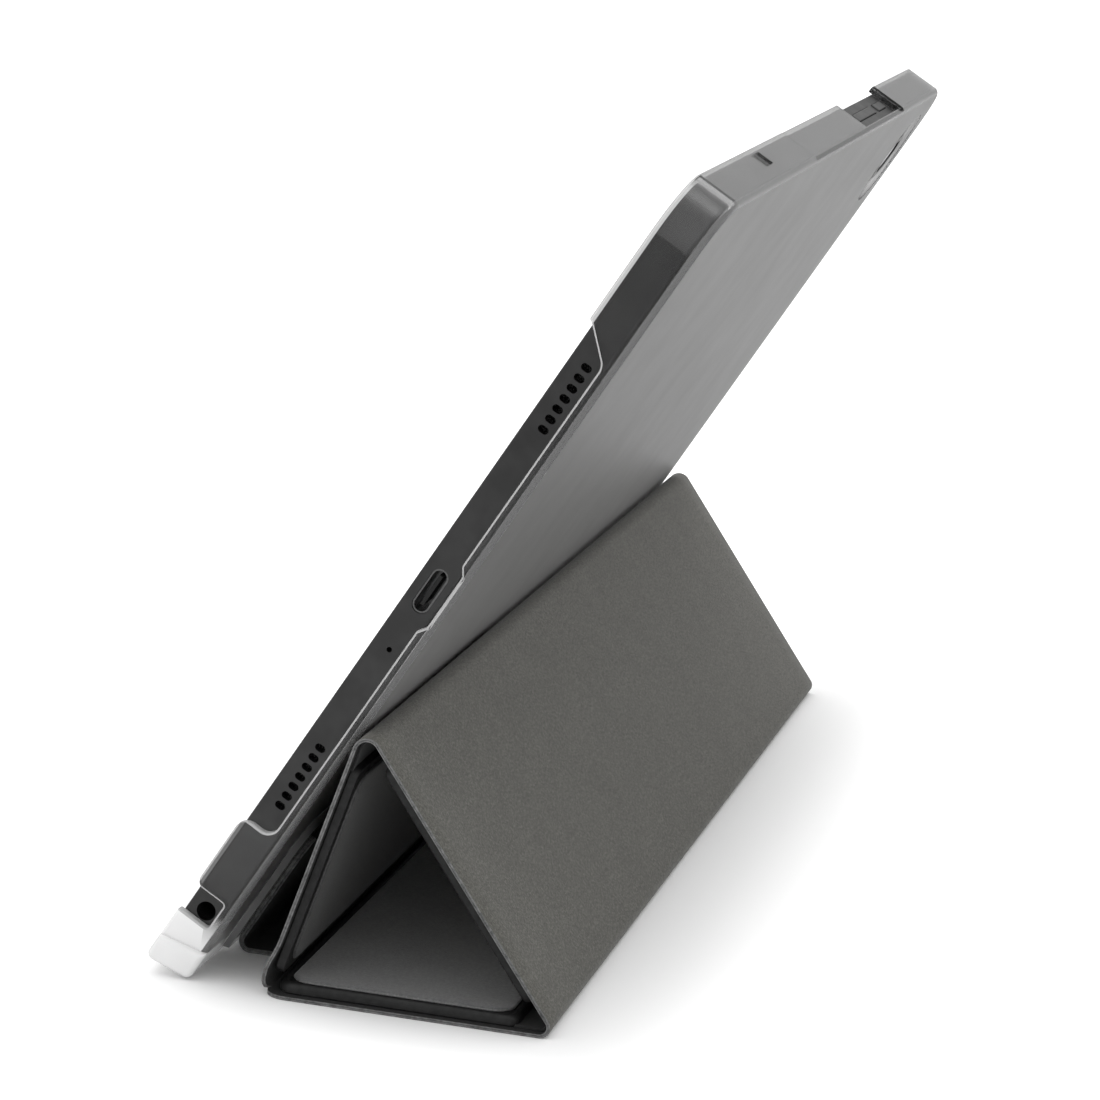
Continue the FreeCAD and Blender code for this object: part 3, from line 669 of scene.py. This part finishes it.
def shell_zone(x, up, behind, normal):
    """Which finish a face of the shell has, from its place in the tablet's own axes and
    its normal (along x, up, behind)."""
    if abs(x) > SHELL_BLOCK_X and up < SHELL_BLOCK_TOP:
        return "foot"
    if math.dist((x, up), CAMERA_HOLE) < CAMERA_HOLE_R and abs(normal[2]) < 0.9:
        return "clear"
    if behind > SHELL_PAD_DEEP:
        return "pad"
    # Sloping faces on the back take the edge finish, a lighter painted highlight.
    if behind > SHELL_BACK_DEEP and normal[2] > 0.2:
        return "back" if normal[2] > 0.97 else "edge"
    in_corner = abs(x) > SHELL_CORNER[0] and up > SHELL_CORNER[1]
    if in_corner and abs(normal[2]) < 0.2:
        return "clear"
    front_lip = behind < SHELL_LIP_DEEP and normal[2] < -0.9
    in_wall = abs(x) > SHELL_WALL_X and behind < SHELL_WALL_DEEP
    cut_face = in_wall and normal[1] ** 2 + normal[2] ** 2 > 0.9
    rounded = max(abs(value) for value in normal) < 0.985
    # Rounded faces, the front lip and the cut faces take the rim finish, painted highlight.
    return "rim" if front_lip or cut_face or rounded else "clear"


def shell():
    """Clear shell: a copy of the CAD surface, with painted highlight as a milky finish on its
    rounded edges, front lip and cut faces, nearly white in the foot block, and greyer and
    less clear over the pad and the back."""
    cad = frame["nodes"]["clear_shell"]
    mesh = cad.data.copy()
    mesh.name = "shell"
    mesh.materials.clear()
    piece = bpy.data.objects.new("shell", mesh)
    piece.matrix_world = cad.matrix_world.copy()
    bpy.context.scene.collection.objects.link(piece)
    finishes = list(SHELL_FINISHES)
    for key in finishes:
        mesh.materials.append(SHELL_FINISHES[key])
    along, out = unit(LEAN), unit(LEAN - 90.0)
    for face in mesh.polygons:
        y = face.center.y * 1000.0 - TABLET_FOOT[0]
        z = face.center.z * 1000.0 - TABLET_FOOT[1]
        normal = (face.normal.x, face.normal.y * along[0] + face.normal.z * along[1],
                  face.normal.y * out[0] + face.normal.z * out[1])
        zone = shell_zone(face.center.x * 1000.0, y * along[0] + z * along[1],
                          y * out[0] + z * out[1], normal)
        face.material_index = finishes.index(zone)
    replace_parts(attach(piece, "case"), "clear_shell")


# Where each panel starts, its direction, how far its outer face lies to the left, where
# its board starts and ends along it, and the board's corner radii at those ends.
PANELS = {
    "a": (FRONT_HINGE, A_DIR, A_OFFSET, A_BOARD_START, A_SPAN - BOARD_SETBACK, (2.0, 2.0)),
    "c": (RIDGE, C_DIR, RIDGE_R, BOARD_SETBACK, C_SPAN - BOARD_SETBACK, (2.0, 2.0)),
    "b": (BASE, B_DIR, BASE_R, BOARD_SETBACK, B_SPAN - 0.8, (2.0, 3.4)),
}


def stiff_panels():
    """Board and face of each panel, riding on its CAD body."""
    for key, (start, direction, left, s0, s1, radii) in PANELS.items():
        body = "panel_" + key
        board = panel_board("board_" + key, start, direction, left, s0, s1, radii)
        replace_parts(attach(board, body), body + "_board")
        face = panel_face("face_" + key, start, direction, left, s0, s1)
        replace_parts(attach(face, body), body + "_face")


def outer_of(start, direction, left, s):
    """(y, z) of a panel's outer face at distance s along it."""
    return offset(offset(start, direction, s), direction + 90.0, left)


def a_side(count):
    """count + 1 points up panel A's outer face, bulging where it rests on the heel."""
    points = []
    for i in range(count + 1):
        s = A_SKIN_START + (A_SPAN - A_SKIN_START) * i / count
        bulge = HEEL_BULGE * math.exp(-((s - HEEL_UP) / HEEL_SPREAD) ** 2)
        points.append(outer_of(FRONT_HINGE, A_DIR, A_OFFSET + bulge, s))
    return points


def skins():
    """Outer skin in two bending lengths: A over the ridge to C, and round under B."""
    ridge = arc(RIDGE, RIDGE_R, A_DIR + 90.0, C_DIR + 90.0, 20)
    c_high = outer_of(RIDGE, C_DIR, RIDGE_R, 0.0)
    c_split = outer_of(RIDGE, C_DIR, RIDGE_R, C_SPAN - SPLIT_ABOVE_FOLD)
    c_low = outer_of(RIDGE, C_DIR, RIDGE_R, C_SPAN)
    upper = joined(HEEL_CURL, a_side(28), ridge, line(c_high, c_split, 26))
    top = skin_sheet("skin_a_to_c", upper, HALF_COVER, LOW_CORNER_R, seed=1.0, from_start=True)
    fit_sheets(top,
               ("panel_a_skin", "ridge_fold_skin", "panel_c_skin"))

    base = arc(BASE, BASE_R, C_DIR + 90.0, B_DIR + 90.0, 18)
    b_reach = B_SPAN + B_UNDER_A
    b_far = outer_of(BASE, B_DIR, BASE_R, b_reach)
    b_near_end = outer_of(BASE, B_DIR, BASE_R, b_reach - COVER_CORNER_R)
    corner = [outer_of(BASE, B_DIR, BASE_R,
                       b_reach - COVER_CORNER_R * (1 - math.sin(math.radians(a))))
              for a in range(0, 91, 10)]
    lower = joined(line(c_split, c_low, 6), base, line(base[-1], b_near_end, 20), corner,
                   [b_far])
    under = skin_sheet("skin_c_to_b", lower, HALF_COVER, COVER_CORNER_R, seed=1.0)
    fit_sheets(under,
               ("base_fold_skin", "panel_b_skin"))


def on_back(up, behind):
    """(y, z) of a point by its height up the tablet and distance behind its middle."""
    return offset(offset(TABLET_FOOT, LEAN, up), LEAN - 90.0, behind)


def foot_sheet():
    """Strip glued to the shell, bent under its foot, and on along the floor."""
    strip_end = on_back(STRIP_BOTTOM, STRIP_OUT)
    corner = [on_back(STRIP_TOP - STRIP_CORNER_R * (1 - math.sin(math.radians(a))), STRIP_OUT)
              for a in range(90, -1, -10)]
    inner_r = FOOT_BEND_R - 0.5
    centre = offset(strip_end, LEAN - 90.0, inner_r)
    turn = arc(centre, inner_r, LEAN + 90.0, 270.0, 19)
    spine_end = (SPINE_END_Y, turn[-1][1])
    path = joined(corner, line(corner[-1], strip_end, 8), turn, line(turn[-1], spine_end, 6))
    # dark=True paints the outer layer near-black as shade in the cavity under the tablet.
    sheet = skin_sheet("foot_sheet", path, HALF_SPINE, STRIP_CORNER_R, seed=5.0,
                       thick=FOOT_SHEET, dark=True, from_start=True)
    fit_sheets(sheet,
               ("strip_skin", "strip_lining", "foot_fold_skin", "foot_fold_lining",
                "spine_skin", "spine_lining"))


def heel_sheet():
    """Soft bend from the spine up into panel A."""
    a_join = outer_of(FRONT_HINGE, A_DIR, A_OFFSET - 0.1, 5.0)
    a_low = outer_of(FRONT_HINGE, A_DIR, A_OFFSET - 0.1, 2.2)
    start = (SPINE_END_Y - 2.5, SPINE_TOP_Z - 0.35)
    bend_in = (SPINE_END_Y + 0.4, SPINE_TOP_Z - 0.35)
    knee = (FRONT_HINGE[0] - 0.45, SPINE_TOP_Z - 0.15)
    curve = []
    for i in range(9):
        t = i / 8
        curve.append(tuple((1 - t) ** 2 * a + 2 * t * (1 - t) * b + t * t * c
                           for a, b, c in zip(bend_in, knee, a_low)))
    path = joined([start], curve, [a_join])
    # dark=True paints the outer layer near-black as shade in the cavity under the tablet.
    sheet = skin_sheet("heel_sheet", path, HALF_SPINE, thick=HEEL_SHEET, dark=True, seed=7.0)
    fit_sheets(sheet,
               ("heel_fold_skin",))


def fold_linings():
    """Black lining across the inside of the ridge and of the rear floor fold."""
    reach = BOARD_SETBACK + 0.6
    a_end = outer_of(FRONT_HINGE, A_DIR, A_OFFSET, A_SPAN - reach)
    a_high = outer_of(FRONT_HINGE, A_DIR, A_OFFSET, A_SPAN)
    ridge = arc(RIDGE, RIDGE_R, A_DIR + 90.0, C_DIR + 90.0, 16)
    c_end = outer_of(RIDGE, C_DIR, RIDGE_R, reach)
    path = joined(line(a_end, a_high, 4), ridge, line(ridge[-1], c_end, 4))
    half_len, depth = HALF_COVER - BOARD_INSET, SKIN + LINING_GAP
    lining = sheet_layer("lining_ridge", path, depth, LINING, half_len, FOLD_LINING)
    fit_sheets([lining], ("ridge_fold_lining",))

    c_out = outer_of(RIDGE, C_DIR, RIDGE_R, C_SPAN - reach)
    base = arc(BASE, BASE_R, C_DIR + 90.0, B_DIR + 90.0, 16)
    b_end = outer_of(BASE, B_DIR, BASE_R, reach)
    path = joined(line(c_out, base[0], 4), base, line(base[-1], b_end, 4))
    lining = sheet_layer("lining_base", path, depth, LINING, half_len, FOLD_LINING)
    fit_sheets([lining],
               ("base_fold_lining",))


# ---------------------------------------------------------------- camera, light, floor
# The camera's place is in metres, its heading and pitch are the way it looks, in degrees,
# and its lens is in millimetres.
CAMERA_AT = Vector((0.77010, 0.16500, 0.23064))
CAMERA_HEADING = -167.218
CAMERA_PITCH = -12.367
CAMERA_ROLL = 4.143
CAMERA_LENS = 127.7


def make_camera():
    """Camera at the photograph's place, with a long lens and a slight roll."""
    data = bpy.data.cameras.new("camera")
    data.lens = CAMERA_LENS
    data.sensor_width = 36.0
    data.clip_end = 50.0
    camera = bpy.data.objects.new("camera", data)
    heading, pitch, roll = (math.radians(v) for v in
                            (CAMERA_HEADING, CAMERA_PITCH, CAMERA_ROLL))
    forward = Vector((math.cos(heading) * math.cos(pitch),
                      math.sin(heading) * math.cos(pitch), math.sin(pitch)))
    level = forward.cross(Vector((0, 0, 1))).normalized()
    upright = level.cross(forward)
    right = level * math.cos(roll) + upright * math.sin(roll)
    up = right.cross(forward)
    turn = Matrix((right, up, -forward)).transposed().to_4x4()
    camera.matrix_world = Matrix.Translation(CAMERA_AT) @ turn
    bpy.context.scene.collection.objects.link(camera)
    bpy.context.scene.camera = camera


def softbox(name, place, aim, size, power):
    """Square area light that faces a point."""
    data = bpy.data.lights.new(name, "AREA")
    data.size = size
    data.energy = power
    lamp = bpy.data.objects.new(name, data)
    toward = Vector(aim) - Vector(place)
    lamp.rotation_euler = toward.to_track_quat("-Z", "Y").to_euler()
    lamp.location = place
    bpy.context.scene.collection.objects.link(lamp)


# Middle and half length of the object's footprint along x and y, in metres, and the
# floor's own glow against distance from it, which paints a shadow round the footprint.
FOOTPRINT = ((0.0, 0.134), (-0.009, 0.036))
FLOOR_GLOW_PAINTED_SHADOW = [(0.0, 0.0), (0.012, 0.12), (0.035, 0.45)]


def paper():
    """Pale studio paper, slightly uneven, glowing beyond a narrow band of painted shadow
    round the object's footprint."""
    f = Finish("floor_paper", Roughness=0.9, Emission_Strength=1.0)
    f.colour(f.noise(300.0, 2.0), [(0.3, 0.95), (0.7, 0.96)])
    beyond = []
    for direction, (middle, half) in zip(((1.0, 0.0, 0.0), (0.0, 1.0, 0.0)), FOOTPRINT):
        off = f.math("ABSOLUTE", f.math("SUBTRACT", f.along(direction), middle), 0.0)
        beyond.append(f.math("MAXIMUM", f.math("SUBTRACT", off, half), 0.0))
    squares = [f.math("MULTIPLY", side, side) for side in beyond]
    away = f.math("SQRT", f.math("ADD", *squares), 0.0)
    # No glow near the footprint leaves a painted shadow there.
    glow = f.ramp(away, FLOOR_GLOW_PAINTED_SHADOW)
    f.link(glow, f.shader.inputs["Emission Color"])
    return f.material


# Brightness of the surroundings against x in metres: the shell's back reflects the far
# side, and the ports' side reflects the near side. The world's brightness is that seen
# directly, and that seen in reflections.
WORLD_BRIGHT = (1.05, 0.5)
SURROUND = [(-0.6, 0.66), (-0.35, 0.62), (-0.15, 0.36), (-0.05, 0.08), (0.15, 0.28),
            (0.3, 0.42), (0.5, 0.38), (0.68, 0.10), (1.0, 0.06)]


def dark_surround():
    """Grey surroundings that only reflections and refractions see."""
    f = Finish("dark_surround", Base_Color=(0.0, 0.0, 0.0, 1.0), Emission_Strength=1.0,
               Roughness=1.0, Specular_IOR_Level=0.0)
    place = f.math("ADD", f.math("MULTIPLY", f.along((1.0, 0.0, 0.0)), 0.5), 0.5)
    glow = f.ramp(place, [(0.5 + 0.5 * x, tone) for x, tone in SURROUND])
    f.link(glow, f.shader.inputs["Emission Color"])
    return f.material


def stage_plane(name, half_size, height, material):
    """Square plane that is not part of the object."""
    bm = bmesh.new()
    bmesh.ops.create_grid(bm, x_segments=8, y_segments=8, size=half_size)
    plane = new_object(name, bm, material)
    plane.location.z = height
    return plane


def studio():
    """White surroundings that look greyer in reflections, a large overhead softbox and a
    pale floor."""
    world = bpy.data.worlds.new("studio")
    world.use_nodes = True
    nodes, links = world.node_tree.nodes, world.node_tree.links
    path = nodes.new("ShaderNodeLightPath")
    dimmer = nodes.new("ShaderNodeMapRange")
    dimmer.inputs["To Min"].default_value = WORLD_BRIGHT[0]
    dimmer.inputs["To Max"].default_value = WORLD_BRIGHT[1]
    links.new(path.outputs["Is Glossy Ray"], dimmer.inputs["Value"])
    links.new(dimmer.outputs["Result"], nodes["Background"].inputs["Strength"])
    nodes["Background"].inputs["Color"].default_value = (1, 1, 1, 1)
    bpy.context.scene.world = world
    softbox("overhead", (-0.15, -0.1, 1.5), (0, 0, 0), 1.6, 7.0)
    floor = stage_plane("floor", 12.0, 0.0, paper())
    floor.visible_glossy = False
    floor.visible_transmission = False
    table = stage_plane("table_reflection", 6.0, -0.002, dark_surround())
    table.visible_camera = False
    table.visible_diffuse = False
    table.visible_shadow = False
    bpy.context.scene.view_settings.view_transform = "Standard"


dress_cad_nodes()
make_camera()
studio()
shell()
stiff_panels()
skins()
foot_sheet()
heel_sheet()
fold_linings()
